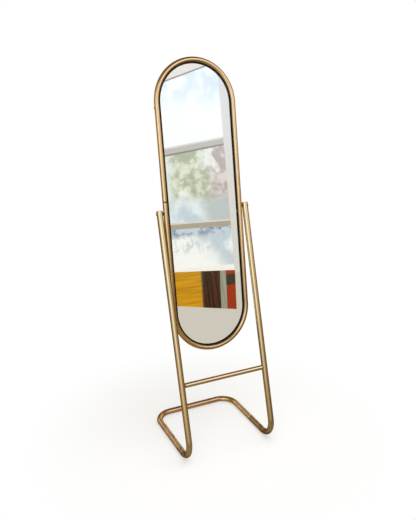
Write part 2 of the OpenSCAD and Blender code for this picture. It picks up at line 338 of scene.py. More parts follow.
def make_fine_scratches():
    """Three sets of hairlines: noise stretched along one direction each, of which only
    the narrow band near its middle value is kept, and then only in scattered places."""
    tree = Effect("fine_scratches", ("Place", "Scale", "Amount"), ("Mask",))
    given = tree.given
    total = 0.0
    for along, turn in enumerate(((0.3, 0.2, 0.5), (1.1, 0.7, 0.1), (0.5, 1.3, 0.9))):
        stretch = [22.0, 22.0, 22.0]
        stretch[along] = 1.0
        turned = tree.mapped(stretch, turn, place=given["Place"])
        lines = tree.noise(given["Scale"], 1.0, place=turned)
        middle = tree.maths("ABSOLUTE", tree.minus(lines, 0.5))
        cloud = tree.noise(tree.times(given["Scale"], 0.31), 1.0, place=turned)
        line = tree.times(tree.ramp(middle, 0.020, 0.004), tree.ramp(cloud, 0.52, 0.62))
        total = tree.maths("MAXIMUM", total, line)
    tree.set({"Mask": tree.times(total, given["Amount"], clamp=True)})


def make_brass_age():
    """Old brass: a film that thickens towards the floor and in drifts, more film on
    undersides that is partly tarnish and partly painted shade, coppery patches, dark
    pits and bright hairlines. Gives colour, dulling and relief."""
    tree = Effect("brass_age", ("Fresh", "Aged", "Coppery", "Clean Height", "Clean Below",
                                *WEAR), ("Colour", "Dulling", "Relief"))
    given = tree.given
    height = tree.split(tree.place)[2]
    low = tree.times(tree.ramp(height, given["Clean Height"], 0.0),
                     tree.ramp(tree.minus(height, given["Clean Below"]), 0.0, 0.18))
    # Faces that look down get more film: partly tarnish, partly painted shade.
    under = tree.ramp(tree.facing, 0.15, -0.75)
    drift = tree.minus(tree.noise(9.0, 4.0, 0.6, 0.4), 0.5)
    mottle = tree.minus(tree.noise(85.0, 5.0, 0.65), 0.5)
    age = tree.plus(tree.times(low, given["Low Age"]), given["Age"])
    age = tree.plus(age, tree.times(under, given["Underside Film And Shade"]))
    age = tree.plus(age, tree.times(drift, given["Drifts"]))
    age = tree.plus(age, tree.times(mottle, tree.plus(given["Drifts"], 0.1)), clamp=True)
    metal = tree.blend(age, given["Fresh"], given["Aged"])
    patch = tree.ramp(tree.noise(16.0, 5.0, 0.62, 0.8), 0.46, 0.66)
    metal = tree.blend(tree.times(patch, given["Copper Share"], clamp=True), metal,
                       given["Coppery"])
    spots = tree.ramp(tree.noise(520.0, 3.0, 0.55), 0.60, 0.70)
    pits = tree.times(given["Pits"], tree.plus(age, 0.25), spots, clamp=True)
    metal = tree.blend(pits, metal, (0.16, 0.10, 0.05))
    lines = tree.effect("fine_scratches", {
        "Place": tree.place, "Scale": 46.0, "Amount": given["Scratches"]})[0]
    metal = tree.blend(lines, metal, (0.86, 0.76, 0.58))
    dull = tree.plus(age, tree.times(pits, 0.5))
    relief = tree.minus(tree.minus(tree.times(mottle, 0.5), pits), lines)
    tree.set({"Colour": metal, "Relief": relief,
              "Dulling": tree.minus(dull, tree.times(lines, 0.3), clamp=True)})


def make_runner_wear():
    """Rubbed runners, low down and ahead of the rear corners: patches of pinkish streaks,
    red brown stains that crowd towards the foot bend, and an olive film on the right
    front runner. Takes a metal's colour and dulling and gives both back."""
    tree = Effect("runner_wear", ("Metal", "Dulling", "Rubbed", "Stain", "Film", "Amount"),
                  ("Metal", "Dulling"))
    given = tree.given
    across, along, height = tree.split(tree.place)
    reach = tree.times(tree.ramp(height, 0.048, 0.030), tree.ramp(along, 0.135, 0.105))
    film = tree.times(tree.ramp(across, -0.02, 0.02),
                      tree.ramp(along, JOINT_Y, JOINT_Y - 0.004))
    amount = tree.times(reach, given["Amount"])
    streaks = tree.ramp(tree.noise(300.0, 2.0, 0.5, 0.3, tree.mapped((1.0, 0.09, 1.0))),
                        0.42, 0.58)
    patches = tree.ramp(tree.noise(24.0, 3.0), 0.38, 0.52, 0.35, 1.0)
    rubbed = tree.times(streaks, patches, amount, tree.ramp(film, 0.0, 1.0, 1.0, 0.35))
    metal = tree.blend(rubbed, given["Metal"], given["Rubbed"])
    level = tree.plus(tree.times(reach, 0.25), tree.ramp(height, 0.15, 0.62, 0.25, 0.0))
    metal = tree.blend(tree.times(film, level), metal, given["Film"])
    crowd = tree.ramp(along, -0.065, -0.115, 0.0, 0.11)
    blots = tree.noise(170.0, 3.0, 0.6,
                       place=tree.mapped((1.0, 0.35, 1.0), shift=(2.0, 5.0, 1.0)))
    stains = tree.ramp(tree.plus(blots, crowd), 0.56, 0.66)
    tree.set({"Metal": tree.blend(tree.times(stains, amount), metal, given["Stain"]),
              "Dulling": tree.maths("MAXIMUM", given["Dulling"], tree.times(reach, 0.6))})


def make_joint_shade_and_glint():
    """Painted shade where two pieces meet: full up to the inner distance from the joint,
    gone at the outer one, and ragged in between, with spots of painted glint on the
    lips. Gives a mask of the shade and one of the glints."""
    tree = Effect("joint_shade_and_glint", ("Distance", "Inner", "Outer", "Where", "Glint Share"),
                  ("Painted Shade", "Glint"))
    given = tree.given
    rag = tree.times(tree.minus(tree.noise(400.0), 0.5), 0.002)
    away = tree.plus(tree.maths("ABSOLUTE", given["Distance"]), rag)
    near = tree.ramp(away, given["Outer"], given["Inner"])
    # Pale spots on the lips, in the sleeve's colour, are painted glints.
    lip = tree.ramp(away, 0.0078, 0.0062)
    spots = tree.ramp(tree.noise(130.0), 0.49, 0.53)
    tree.set({"Painted Shade": tree.times(near, given["Where"], clamp=True),
              "Glint": tree.times(given["Where"], given["Glint Share"], lip, spots,
                                 clamp=True)})


def make_moulded_skin():
    """Skin of moulded rubber or plastic: a fine grain, and dust that lies in patches on
    faces that look up. Gives a grain height and a dust mask."""
    tree = Effect("moulded_skin", ("Grain Scale", "Dust"), ("Grain", "Dust"))
    patch = tree.ramp(tree.noise(60.0, 4.0, 0.6), 0.42, 0.72)
    upward = tree.ramp(tree.facing, -0.2, 0.9, 0.25, 1.0)
    tree.set({"Grain": tree.noise(tree.given["Grain Scale"], 3.0),
              "Dust": tree.times(patch, upward, tree.given["Dust"], clamp=True)})


def make_edge_rust():
    """Dark freckles of a worn mirror edge: noise spots kept where the plate's own UV
    map, whose second value is the distance from the edge in metres, is small."""
    tree = Effect("edge_rust", ("Reach", "Amount"), ("Mask",))
    inside = tree.split(tree.add("UVMap", uv_map="edge").outputs[0])[1]
    near = tree.ramp(inside, tree.given["Reach"], 0.0)
    spots = tree.plus(tree.times(near, 0.30), tree.noise(240.0, 4.0, 0.6))
    tree.set({"Mask": tree.times(tree.ramp(spots, 0.62, 0.74), tree.given["Amount"],
                                 clamp=True)})


# ---- finishes


def brass(name, fresh, wear, rough=(0.20, 0.42), joint=None, worn=0.0,
          clean_height=None, clean_below=-1.0):
    """Worn brass plate. wear has one number for each name in WEAR, and rough is the
    roughness where the brass is clean and where it is dull. joint takes the paint and
    gives the numbers of that joint's painted shade and painted glints. worn is the
    strength of the runners' rubbed streaks."""
    scene = bpy.context.scene
    finish, sizes = scene.floor_mirror_finish, scene.floor_mirror_sizes
    paint = Paint(name)
    metal, dull, relief = paint.effect("brass_age", {
        "Fresh": fresh, "Aged": finish.aged_brass, "Coppery": finish.copper_brass,
        "Clean Height": clean_height or sizes.clean_height, "Clean Below": clean_below,
        **dict(zip(WEAR, wear))})
    if worn:
        metal, dull = paint.effect("runner_wear", {
            "Metal": metal, "Dulling": dull, "Rubbed": finish.rubbed,
            "Stain": finish.stain, "Film": finish.film, "Amount": worn})
    # The joint's mask darkens the metal as painted shade, and its spots lay pale sleeve brass on
    # as painted glints.
    if joint:
        painted_shade, painted_glint = paint.effect("joint_shade_and_glint", joint(paint))
        metal = paint.blend(painted_shade, metal, finish.joint_shade)
        metal = paint.blend(painted_glint, metal, finish.sleeve)
        dull = paint.maths("MAXIMUM", dull, painted_shade)
    return paint.set({
        "Base Color": metal, "Specular Tint": finish.edge_tint,
        "Roughness": paint.between(dull, *rough),
        "Metallic": paint.between(dull, 1.0, 0.80),
        "Normal": paint.bump(relief, 0.25, 0.0002)})


def runner_joint(paint):
    """Painted shade in the groove between each leg and the rear base, low down on the
    runners, with painted glints on the groove's lips.
    """
    _, along, height = paint.split(paint.place)
    return {"Distance": paint.minus(along, JOINT_Y), "Inner": 0.0058, "Outer": 0.0085,
            "Where": paint.ramp(height, 0.034, 0.026), "Glint Share": 0.95}


def frame_seam(paint):
    """Painted shade at the seam of the frame tube, on the mirror's left side."""
    offset = paint.vector("SUBTRACT", paint.place, PIVOT)
    along = paint.vector("DOT_PRODUCT", offset, MIRROR_UP)
    return {"Distance": paint.minus(along, SEAM_UP), "Inner": 0.0010, "Outer": 0.0042,
            "Where": paint.ramp(paint.split(offset)[0], 0.02, -0.02)}


def moulded(name, base, rough, grain_scale, dust, specular=0.5):
    """Moulded rubber, plastic or fibre with fine grain and a little dust."""
    paint = Paint(name)
    grain, dusty = paint.effect("moulded_skin", {"Grain Scale": grain_scale, "Dust": dust})
    return paint.set({
        "Base Color": paint.blend(dusty, base, (0.30, 0.28, 0.25)),
        "Roughness": paint.between(dusty, rough, 0.85),
        "Specular IOR Level": specular, "Normal": paint.bump(grain, 0.3, 0.0001)})


# ---- surfaces


def put(name, data):
    """A new object in the scene."""
    made = bpy.data.objects.new(name, data)
    bpy.context.scene.collection.objects.link(made)
    return made


def surface(name, rows, *paints, uv=None, closed=False, smooth=False):
    """A mesh object from a grid of points, shape (rows, columns, 3). Each cell between
    four neighbours is one face, and closed joins the last column to the first. uv,
    shape (rows, columns, 2), becomes the map named edge."""
    count_r, count_c = rows.shape[:2]
    r, c = np.indices((count_r - 1, count_c if closed else count_c - 1))
    up, over = r + 1, (c + 1) % count_c
    faces = np.stack([r * count_c + c, r * count_c + over, up * count_c + over,
                      up * count_c + c], axis=-1).reshape(-1, 4)
    mesh = bpy.data.meshes.new(name)
    mesh.from_pydata(rows.reshape(-1, 3).tolist(), [], faces.tolist())
    if uv is not None:
        layer = mesh.uv_layers.new(name="edge")
        layer.data.foreach_set("uv", uv.reshape(-1, 2)[faces.ravel()].ravel())
    mesh.polygons.foreach_set("use_smooth", np.full(len(faces), smooth))
    for paint in paints:
        mesh.materials.append(paint.material)
    mesh.update()
    return put(name, mesh)


def close_seams(made):
    """Merges points that lie on each other, and turns all faces outwards."""
    work = bmesh.new()
    work.from_mesh(made.data)
    bmesh.ops.remove_doubles(work, verts=work.verts, dist=SEAM_WIDTH)
    bmesh.ops.dissolve_degenerate(work, edges=work.edges, dist=SEAM_WIDTH / 20.0)
    bmesh.ops.recalc_face_normals(work, faces=work.faces)
    work.to_mesh(made.data)
    work.free()
    made.data.update()


def oval(radius, half_straight):
    """Outline of the mirror: two half circles of the given radius whose centres are
    half_straight above and below the middle. Returns (points, 2), anticlockwise."""
    turn = (np.linspace(0.0, 2.0 * np.pi, RING_POINTS, endpoint=False)
            + np.pi / RING_POINTS)
    across, along = radius * np.cos(turn), radius * np.sin(turn)
    return np.stack([across, along + half_straight * np.sign(np.sin(turn))], axis=1)


def mirror_reach(name):
    """Lowest and highest right, up and back distances of a CAD node on the mirror."""
    mesh = NODES[name].data
    points = np.empty(len(mesh.vertices) * 3)
    mesh.vertices.foreach_get("co", points)
    own = (points.reshape(-1, 3) - PIVOT) @ MIRROR_AXES.T
    return own.min(axis=0), own.max(axis=0)


def silver_plate(sizes, *paints):
    """A closed thin plate between glass and board: oval rings from the middle of its
    front to the edge and back to the middle behind. Its map edge has the share of the
    way round and the distance from the edge."""
    low, high = mirror_reach("mirror_glass")
    board_front = mirror_reach("backing_board")[0][2]
    radius = high[0] - sizes.silver_margin
    half_straight = (high[1] - low[1]) / 2.0 - high[0]
    insets = np.array([radius, *FRONT_INSETS, *BACK_INSETS, radius])
    depths = np.repeat([high[2] + sizes.silver_gap, board_front - sizes.silver_back_gap],
                       [1 + len(FRONT_INSETS), 1 + len(BACK_INSETS)])
    rings = np.stack([oval(max(radius - inset, 1e-9), half_straight) for inset in insets])
    rings[..., 1] += (high[1] + low[1]) / 2.0
    own = np.dstack([rings, np.broadcast_to(depths[:, None], rings.shape[:2])])
    uv = np.stack(np.meshgrid(np.linspace(0.0, 1.0, RING_POINTS), insets), axis=-1)
    made = surface("silver_coat", PIVOT + own @ MIRROR_AXES, *paints, uv=uv, closed=True)
    close_seams(made)
    return made


def mirror_silver(finish):
    """Bright silver with a few dark freckles at its very edge."""
    paint = Paint("mirror_silver")
    rust = paint.effect("edge_rust", {"Reach": 0.006, "Amount": 0.5})[0]
    return paint.set({
        "Base Color": paint.blend(rust, finish.silver, (0.16, 0.13, 0.11)),
        "Roughness": paint.between(rust, 0.0, 0.4), "Metallic": 1.0})


# ---- operators


class FLOORMIRROR_OT_camera(bpy.types.Operator):
    """Stands the camera to the left of the mirror, at eye height, looking down"""

    bl_idname = "floor_mirror.camera"
    bl_label = "Camera"

    def execute(self, context):
        studio = context.scene.floor_mirror_studio
        lens = bpy.data.cameras.new("studio_camera")
        lens.sensor_fit = "AUTO"
        lens.sensor_width = 36.0
        lens.lens = studio.camera_focal * 1000.0
        lens.clip_start, lens.clip_end = 0.05, 60.0
        camera = put("studio_camera", lens)
        camera.matrix_world = (
            Matrix.Translation(studio.camera_place)
            @ Matrix.Rotation(-studio.camera_yaw, 4, "Z")
            @ Matrix.Rotation(math.pi / 2.0 - studio.camera_pitch, 4, "X")
            @ Matrix.Rotation(studio.camera_roll, 4, "Z"))
        context.scene.camera = camera
        return {"FINISHED"}


class FLOORMIRROR_OT_shared_effects(bpy.types.Operator):
    """Builds the effects for scratches, tarnish, wear, painted joint shade and glints, moulded
    skin and edge
    """

    bl_idname = "floor_mirror.shared_effects"
    bl_label = "Shared effects"

    def execute(self, context):
        for make in (make_fine_scratches, make_brass_age, make_runner_wear,
                     make_joint_shade_and_glint, make_moulded_skin, make_edge_rust):
            make()
        return {"FINISHED"}


class FLOORMIRROR_OT_legs(bpy.types.Operator):
    """Finishes the two bent leg tubes, clean above and tarnished near the floor"""

    bl_idname = "floor_mirror.legs"
    bl_label = "Legs"

    def execute(self, context):
        finish = context.scene.floor_mirror_finish
        leg = brass("leg_brass", finish.fresh_brass,
                    (finish.leg_age, 0.30, 0.22, 0.20, 0.10, 0.04, 0.4),
                    joint=runner_joint, worn=0.75)
        leg.give("left_leg_tube", "right_leg_tube")
        cap = brass("cap_brass", finish.fresh_brass, (0.08, 0.3, 0.3, 0.2, 0.1, 0.4, 0.3))
        cap.give("left_top_cap", "right_top_cap")
        return {"FINISHED"}


class FLOORMIRROR_OT_base(bpy.types.Operator):
    """Finishes the rear base tube and the sleeves in its joints"""

    bl_idname = "floor_mirror.base"
    bl_label = "Rear base"

    def execute(self, context):
        finish = context.scene.floor_mirror_finish
        base = brass("base_brass", finish.base_fresh,
                     (finish.base_age, 0.05, 0.50, 0.15, 0.60, 0.12, 1.0),
                     rough=(0.18, 0.42), joint=runner_joint, worn=0.60)
        base.give("rear_base_tube")
        sleeve = Paint("sleeve_brass")
        # The sleeve's dark patches are partly stains and partly painted shade in the groove.
        stain = sleeve.noise(160.0, 4.0, 0.6)
        sleeve.set({
            "Base Color": sleeve.tones(stain, 0.54, 0.60, finish.sleeve, finish.stain),
            "Roughness": sleeve.ramp(stain, 0.4, 0.7, 0.22, 0.40, False), "Metallic": 0.3})
        sleeve.give("left_runner_sleeve", "right_runner_sleeve")
        return {"FINISHED"}


class FLOORMIRROR_OT_crossbar(bpy.types.Operator):
    """Finishes the crossbar and its two dark plugs"""

    bl_idname = "floor_mirror.crossbar"
    bl_label = "Crossbar"

    def execute(self, context):
        finish = context.scene.floor_mirror_finish
        bar = brass("bar_brass", finish.bar_fresh, (0.03, 0.10, 0.3, 0.30, 0.1, 0.4, 0.4),
                    rough=(0.13, 0.38))
        bar.give("crossbar_tube")
        plug = moulded("plug_plastic", finish.plug, 0.26, 700.0, 0.15)
        plug.give("left_crossbar_plug", "right_crossbar_plug")
        return {"FINISHED"}


class FLOORMIRROR_OT_frame(bpy.types.Operator):
    """Finishes the oval frame tube and the spigot in its seam"""

    bl_idname = "floor_mirror.frame"
    bl_label = "Oval frame"

    def execute(self, context):
        finish = context.scene.floor_mirror_finish
        sizes = context.scene.floor_mirror_sizes
        tube = brass("frame_brass", finish.frame_fresh,
                     (0.10, 0.75, 0.35, 0.15, 0.20, 0.2, 0.4), rough=(0.18, 0.30),
                     joint=frame_seam, clean_height=sizes.frame_clean_height,
                     clean_below=sizes.frame_clean_below)
        tube.give("frame_tube")
        # The spigot is painted nearly black: painted shade in the narrow seam, over tarnish.
        joiner = brass("joiner_brass", finish.joint_shade, (0.5, 0.0, 0.3, 0.0, 0.0, 0.5, 0.0))
        joiner.give("frame_joiner")
        return {"FINISHED"}


class FLOORMIRROR_OT_pivots(bpy.types.Operator):
    """Finishes the pivot bolts, spacers, sleeves and inserts, and all screws"""

    bl_idname = "floor_mirror.pivots"
    bl_label = "Pivots and screws"

    def execute(self, context):
        finish = context.scene.floor_mirror_finish
        bolt = brass("bolt_brass", finish.fresh_brass,
                     (0.35, 0.2, 0.3, 0.3, 0.2, 0.5, 0.5), rough=(0.26, 0.46))
        bolt.give("left_pivot_bolt", "right_pivot_bolt", "frame_side_screw")
        spacer = moulded("spacer_fibre", finish.spacer, 0.62, 1400.0, 0.15)
        spacer.give("left_pivot_spacer", "right_pivot_spacer")
        steel = Paint("screw_steel")
        stain = steel.noise(350.0, 4.0)
        steel.set({
            "Base Color": steel.tones(stain, 0.4, 0.75, finish.steel, (0.22, 0.19, 0.16)),
            "Roughness": steel.ramp(stain, 0.3, 0.8, 0.3, 0.55, False), "Metallic": 1.0})
        steel.give("crossbar_screws", "left_pivot_sleeve", "right_pivot_sleeve",
                   "left_pivot_insert", "right_pivot_insert")
        return {"FINISHED"}


class FLOORMIRROR_OT_gasket(bpy.types.Operator):
    """Finishes the black rubber channel round the glass and its short infill"""

    bl_idname = "floor_mirror.gasket"
    bl_label = "Gasket"

    def execute(self, context):
        finish = context.scene.floor_mirror_finish
        rubber = moulded("gasket_rubber", finish.rubber, 0.55, 1100.0, 0.02, 0.18)
        rubber.give("gasket_channel", "gasket_infill")
        return {"FINISHED"}


class FLOORMIRROR_OT_glass(bpy.types.Operator):
    """Finishes the glass and lays the silver plate behind it"""

    bl_idname = "floor_mirror.glass"
    bl_label = "Glass and silver"

    def execute(self, context):
        finish = context.scene.floor_mirror_finish
        glass = Paint("clear_glass")
        glass.set({"Base Color": (0.99, 0.997, 0.993), "Roughness": 0.0, "IOR": 1.51,
                   "Transmission Weight": 1.0, "Specular IOR Level": 0.12})
        glass.give("mirror_glass")

        back = moulded("backing_paint", finish.backing_paint, 0.7, 500.0, 0.1)
        plate = silver_plate(context.scene.floor_mirror_sizes, mirror_silver(finish), back)
        facing = np.empty(len(plate.data.polygons) * 3)
        plate.data.polygons.foreach_get("normal", facing)
        behind = facing.reshape(-1, 3) @ MIRROR_BACK > -0.5
        plate.data.polygons.foreach_set("material_index", behind.astype(np.int32))
        plate.data.update()
        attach(plate, "mirror")
        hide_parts("silvering")
        return {"FINISHED"}


class FLOORMIRROR_OT_board(bpy.types.Operator):
    """Finishes the brown board that closes the back of the mirror"""

    bl_idname = "floor_mirror.board"
    bl_label = "Backing board"

    def execute(self, context):
        finish = context.scene.floor_mirror_finish
        board = Paint("board")
        cloud = board.noise(7.0, 4.0, 0.55)
        fibre = board.noise(420.0, 6.0, 0.7, 1.5, board.mapped((1.0, 1.0, 0.35)))
        fleck = board.ramp(board.noise(900.0), 0.60, 0.68)
        mixed = board.plus(board.times(fibre, 0.8), board.times(cloud, 0.5))
        tone = board.tones(mixed, 0.42, 0.90, finish.board_dark, finish.board)
        board.set({
            "Base Color": board.blend(board.times(fleck, 0.35), tone, (0.42, 0.29, 0.18)),
            "Roughness": board.ramp(mixed, 0.4, 0.9, 0.72, 0.55, False),
            "Normal": board.bump(fibre, 0.35, 0.0003)})
        board.give("backing_board")
        return {"FINISHED"}


# ---- studio

# Soft lamps: name, place, width. Both look at the same point of the object.
LAMPS = (("key_lamp", (0.5, -0.5, 3.2), 2.4), ("front_lamp", (-1.6, -2.4, 2.4), 1.6))
LAMP_AIM = Vector((0.0, 0.0, 0.5))

# The floor's top lies just under the feet. Near the object it is half lit floor and
# half glow, which paints light into its shadows, and within these two distances from
# the middle it turns into plain glowing white.
FLOOR_LEVEL = -0.0003
FLOOR_FADE = (0.26, 0.85)

# Profile of the tent, and the middle that its bright places are seen from.
TENT_RADIUS = (0.001, 0.80, 2.60, 3.00, 3.00, 3.00, 2.60, 1.80, 0.90, 0.001)
TENT_HEIGHT = (-0.0002, -0.0002, 0.001, 0.40, 1.50, 3.00, 4.10, 4.90, 5.30, 5.40)
TENT_SIDES = 64
TENT_MIDDLE = (0.0, 0.0, 0.7)

# The tent's places, in degrees: turn from the mirror's front towards the viewer's right,
# and rise. The one at the window is narrower by the number below.
TENT_PLACES = {"left": (-36.0, 12.0), "window": (27.0, 34.0), "behind": (-152.0, 21.0),
               "right": (128.0, 4.0), "dark": (16.0, 10.0)}
WINDOW_NARROWING = 1.45

# Light of the tent by the angle from its two main places, in degrees, and the strength
# by which all of the tent's colours are divided.
TENT_PEAK = 2.2
TENT_TONES = (
    (17, (1.22, 1.42, 1.98)), (30, (0.92, 0.89, 0.82)), (44, (0.58, 0.48, 0.28)),
    (60, (0.34, 0.235, 0.10)), (84, (0.20, 0.130, 0.052)), (108, (0.13, 0.078, 0.032)),
    (128, (0.09, 0.053, 0.024)), (144, (0.16, 0.105, 0.06)), (160, (0.45, 0.38, 0.30)),
)
TENT_LOW = (0.84, 0.78, 0.64)
TENT_TOP = (0.075, 0.038, 0.016)
TENT_DARK = (0.055, 0.032, 0.013)
TENT_BEHIND = (1.05, 0.88, 0.70)
TENT_RIGHT = (1.00, 0.84, 0.60)
TENT_FLOOR = (0.31, 0.24, 0.135)

# Plain glow colours of the cards that the mirror sees.
CARD_PAINTS = {
    "wall_card": (0.77, 0.745, 0.69), "low_wall": (0.70, 0.66, 0.575),
    "ceiling_card": (0.85, 0.77, 0.65), "window_bar": (0.54, 0.51, 0.43),
    "window_shade": (0.45, 0.38, 0.29), "window_edge": (0.27, 0.235, 0.175),
    "window_sill": (1.03, 0.99, 0.90), "gap_card": (0.10, 0.085, 0.060),
}

# The window's upright cards: name, paint, left and right end, lower and upper height at
# the left end, step behind the view, and rise towards the right end.
WINDOW_Y = -2.4
WINDOW_CARDS = (
    ("ceiling_card", "ceiling_card", 0.60, 1.60, 2.180, 3.4, 0.012, 0.326),
    ("ceiling_edge", "window_edge", 0.60, 1.60, 2.168, 2.182, 0.013, 0.326),
    ("upper_bar", "window_bar", 0.76, 1.45, 1.652, 1.712, 0.005, 0.085),
    ("upper_bar_glint", "wall_card", 0.76, 1.45, 1.698, 1.712, 0.006, 0.085),
    ("upper_bar_edge", "window_edge", 0.76, 1.45, 1.638, 1.654, 0.005, 0.085),
    ("lower_bar", "window_shade", 0.76, 1.45, 1.036, 1.090, 0.005, -0.025),
    ("lower_bar_glint", "wall_card", 0.76, 1.45, 1.078, 1.092, 0.007, -0.025),
    ("window_sill", "window_sill", 0.15, 1.34, 0.660, 0.735, 0.008, -0.060),
    ("low_wall", "low_wall", 0.15, 2.3, -0.25, 0.66, 0.007, 0.0),
)

# The row of boxes: name, left and right end, and how far the foot leans to the left.
# Below, the heights of the row's top and bottom at its two ends.
BOXES = (("yellow_box", 0.60, 1.011, 0.022), ("gap", 1.008, 1.032, 0.026),
         ("dark_box", 1.026, 1.189, 0.034), ("grey_box", 1.189, 1.247, 0.036),
         ("red_box", 1.247, 1.335, 0.036))
BOX_ENDS = (0.60, 1.335)
BOX_TOPS = (0.700, 0.623)
BOX_BOTTOMS = (0.436, 0.284)

# Striped paints: name, axis across the stripes, their fineness, dark and pale colour.
STRIPED = (("yellow_box", 2, 140.0, (0.54, 0.235, 0.003), (0.72, 0.340, 0.005)),
           ("dark_box", 0, 63.0, (0.006, 0.0, 0.0), (0.060, 0.010, 0.010)),
           ("grey_box", 0, 70.0, (0.29, 0.30, 0.23), (0.36, 0.37, 0.29)))


def glowing(name, tone=WHITE, in_mirror=True):
    """A card of one plain colour. One for the mirror shows in its first reflection
    only, so that the brass doesn't pick it up; one for the brass never shows there."""
    paint = Paint(name, "Emission").set({"Color": tone, "Strength": 1.0})
    path = paint.add("LightPath").outputs
    first = paint.times(path["Is Transmission Ray"],
                        paint.maths("LESS_THAN", path["Glossy Depth"], 1.5))
    gone = paint.add("BsdfTransparent")
    paint.mix_out(first, *((gone, paint.end) if in_mirror else (paint.end, gone)))
    return paint


def hide(made, *rays):
    """Takes an object out of the sight of some kinds of rays."""
    for ray in rays:
        setattr(made, "visible_" + ray, False)


def unseen(card):
    """A card outside the picture: metal and glass see it, the camera doesn't, and it
    throws no light or shadow on the object."""
    hide(card, "camera", "diffuse", "shadow", "volume_scatter")


def card(name, x, low, high, step, paint):
    """A flat upright card. x, low and high have a value for its left and right end, or
    x one for each corner: lower left, lower right, upper right, upper left."""
    x = np.array(x if len(x) == 4 else (*x, x[1], x[0]), float)
    corners = np.stack([x, np.full(4, WINDOW_Y + step), [*low, high[1], high[0]]], axis=1)
    unseen(surface(name, corners[[0, 1, 3, 2]].reshape(2, 2, 3), paint))


def surround(studio):
    """White where camera, metal and glass see it, and a plain fill elsewhere."""
    world = bpy.data.worlds.new("white_surround")
    bpy.context.scene.world = world
    world.use_nodes = True
    world.node_tree.nodes.clear()
    tree = Nodes(world.node_tree, world.node_tree.nodes.new("ShaderNodeOutputWorld"))
    strength = tree.between(tree.seen, studio.world_fill, 1.0)
    tree.set({0: tree.add("Background", {"Color": WHITE, "Strength": strength}).outputs[0]})


def floor(studio):
    """A flat floor that turns into the white surround away from the object. Near the
    object it half glows, which paints light into its shadows.
    """
    line = np.linspace(-studio.floor_size, studio.floor_size, 3)
    grid = np.stack(np.meshgrid(line, line, FLOOR_LEVEL), axis=-1).reshape(3, 3, 3)
    paint = Paint("pale_floor").set({"Base Color": studio.floor_colour,
                                     "Roughness": 0.9, "Specular IOR Level": 0.1})
    away = paint.vector("LENGTH", paint.place)
    tone = paint.tones(away, *FLOOR_FADE, (0.945, 0.935, 0.905), WHITE)
    white = paint.add("Emission", {"Color": tone, "Strength": 1.0})
    # Half glow near the object: painted light that lightens the floor's shadows.
    paint.mix_out(paint.times(paint.ramp(away, *FLOOR_FADE, 0.52, 1.0), paint.seen),
                  paint.end, white)
    made = surface("floor", grid, paint)


def lamps(studio):
    """A large soft lamp up on the right, and a weaker one beside the camera. Their
    shapes don't show in the metal."""
    for (name, place, size), watts in zip(LAMPS, (studio.key_power, studio.fill_power)):
        light = bpy.data.lights.new(name, "AREA")
        light.shape, light.size, light.energy = "SQUARE", size, watts
        lamp = put(name, light)
        turn = (LAMP_AIM - Vector(place)).to_track_quat("-Z", "Y").to_matrix().to_4x4()
        lamp.matrix_world = Matrix.Translation(place) @ turn
        hide(lamp, "glossy", "camera", "transmission")


def tent():
    """A glowing tent of warm brown, which only the brass sees: a profile of radius and
    height turned through the whole circle. Its glow paints the light and shade that the
    brass reflects, and runs with the angle from the nearer of two bright places, warmer
    near the floor and dark at the top. Then come a darker place ahead, a light behind
    that ends at a height of its own, one on the right, and the floor's light near the
    feet."""
    radius = np.array(TENT_RADIUS)[:, None]
    turn = np.linspace(0.0, 2.0 * np.pi, TENT_SIDES, endpoint=False)
    height = np.repeat(np.array(TENT_HEIGHT)[:, None], TENT_SIDES, axis=1)
    cloth = np.stack([radius * np.sin(turn), -radius * np.cos(turn), height], axis=-1)
    paint = glowing("glowing_tent", in_mirror=False)
    away = paint.vector("NORMALIZE", paint.vector("SUBTRACT", paint.place, TENT_MIDDLE))
    offs = {}
    for name, place in TENT_PLACES.items():
        side, rise = map(math.radians, place)
        axis = (math.sin(side) * math.cos(rise), -math.cos(side) * math.cos(rise),
                math.sin(rise))
        cosine = paint.vector("DOT_PRODUCT", away, axis)
        offs[name] = paint.maths("DIVIDE", paint.maths("ARCCOSINE", cosine), math.pi)

    def near(name, inner, outer, most=1.0):
        return paint.ramp(offs[name], outer / 180.0, inner / 180.0, 0.0, most)

    main = paint.maths("MINIMUM", offs["left"], paint.times(offs["window"], WINDOW_NARROWING))
    tones = paint.add("ValToRGB", {0: main})
    elements = tones.color_ramp.elements
    elements.remove(elements[-1])
    for index, (degrees, tone) in enumerate(TENT_TONES):
        spot = elements.new(degrees / 180.0) if index else elements[0]
        spot.position = degrees / 180.0
        spot.color = (*(part / TENT_PEAK for part in tone), 1.0)
    level = paint.split(paint.place)[2]
    weak = paint.tones(level, 0.05, 1.50, TENT_LOW, WHITE)
    lit = paint.blend(1.0, tones.outputs[0], weak, "MULTIPLY")
    lit = paint.blend(paint.ramp(level, 3.5, 4.4, 0.0, 0.75), lit, TENT_TOP)
    lit = paint.blend(near("dark", 6.0, 24.0, 0.32), lit, TENT_DARK)
    beside = paint.ramp(paint.vector("LENGTH", paint.place), 0.75, 0.25)
    behind = paint.times(near("behind", 8.0, 34.0), paint.ramp(level, 2.35, 2.05))
    for where, tone in ((behind, TENT_BEHIND), (near("right", 6.0, 40.0), TENT_RIGHT),
                        (beside, TENT_FLOOR)):
        lit = paint.blend(where, lit, [part / TENT_PEAK for part in tone], "LIGHTEN")
    paint.set({"Color": lit, "Strength": TENT_PEAK})
    unseen(surface("brown_tent", cloth, paint, closed=True, smooth=True))


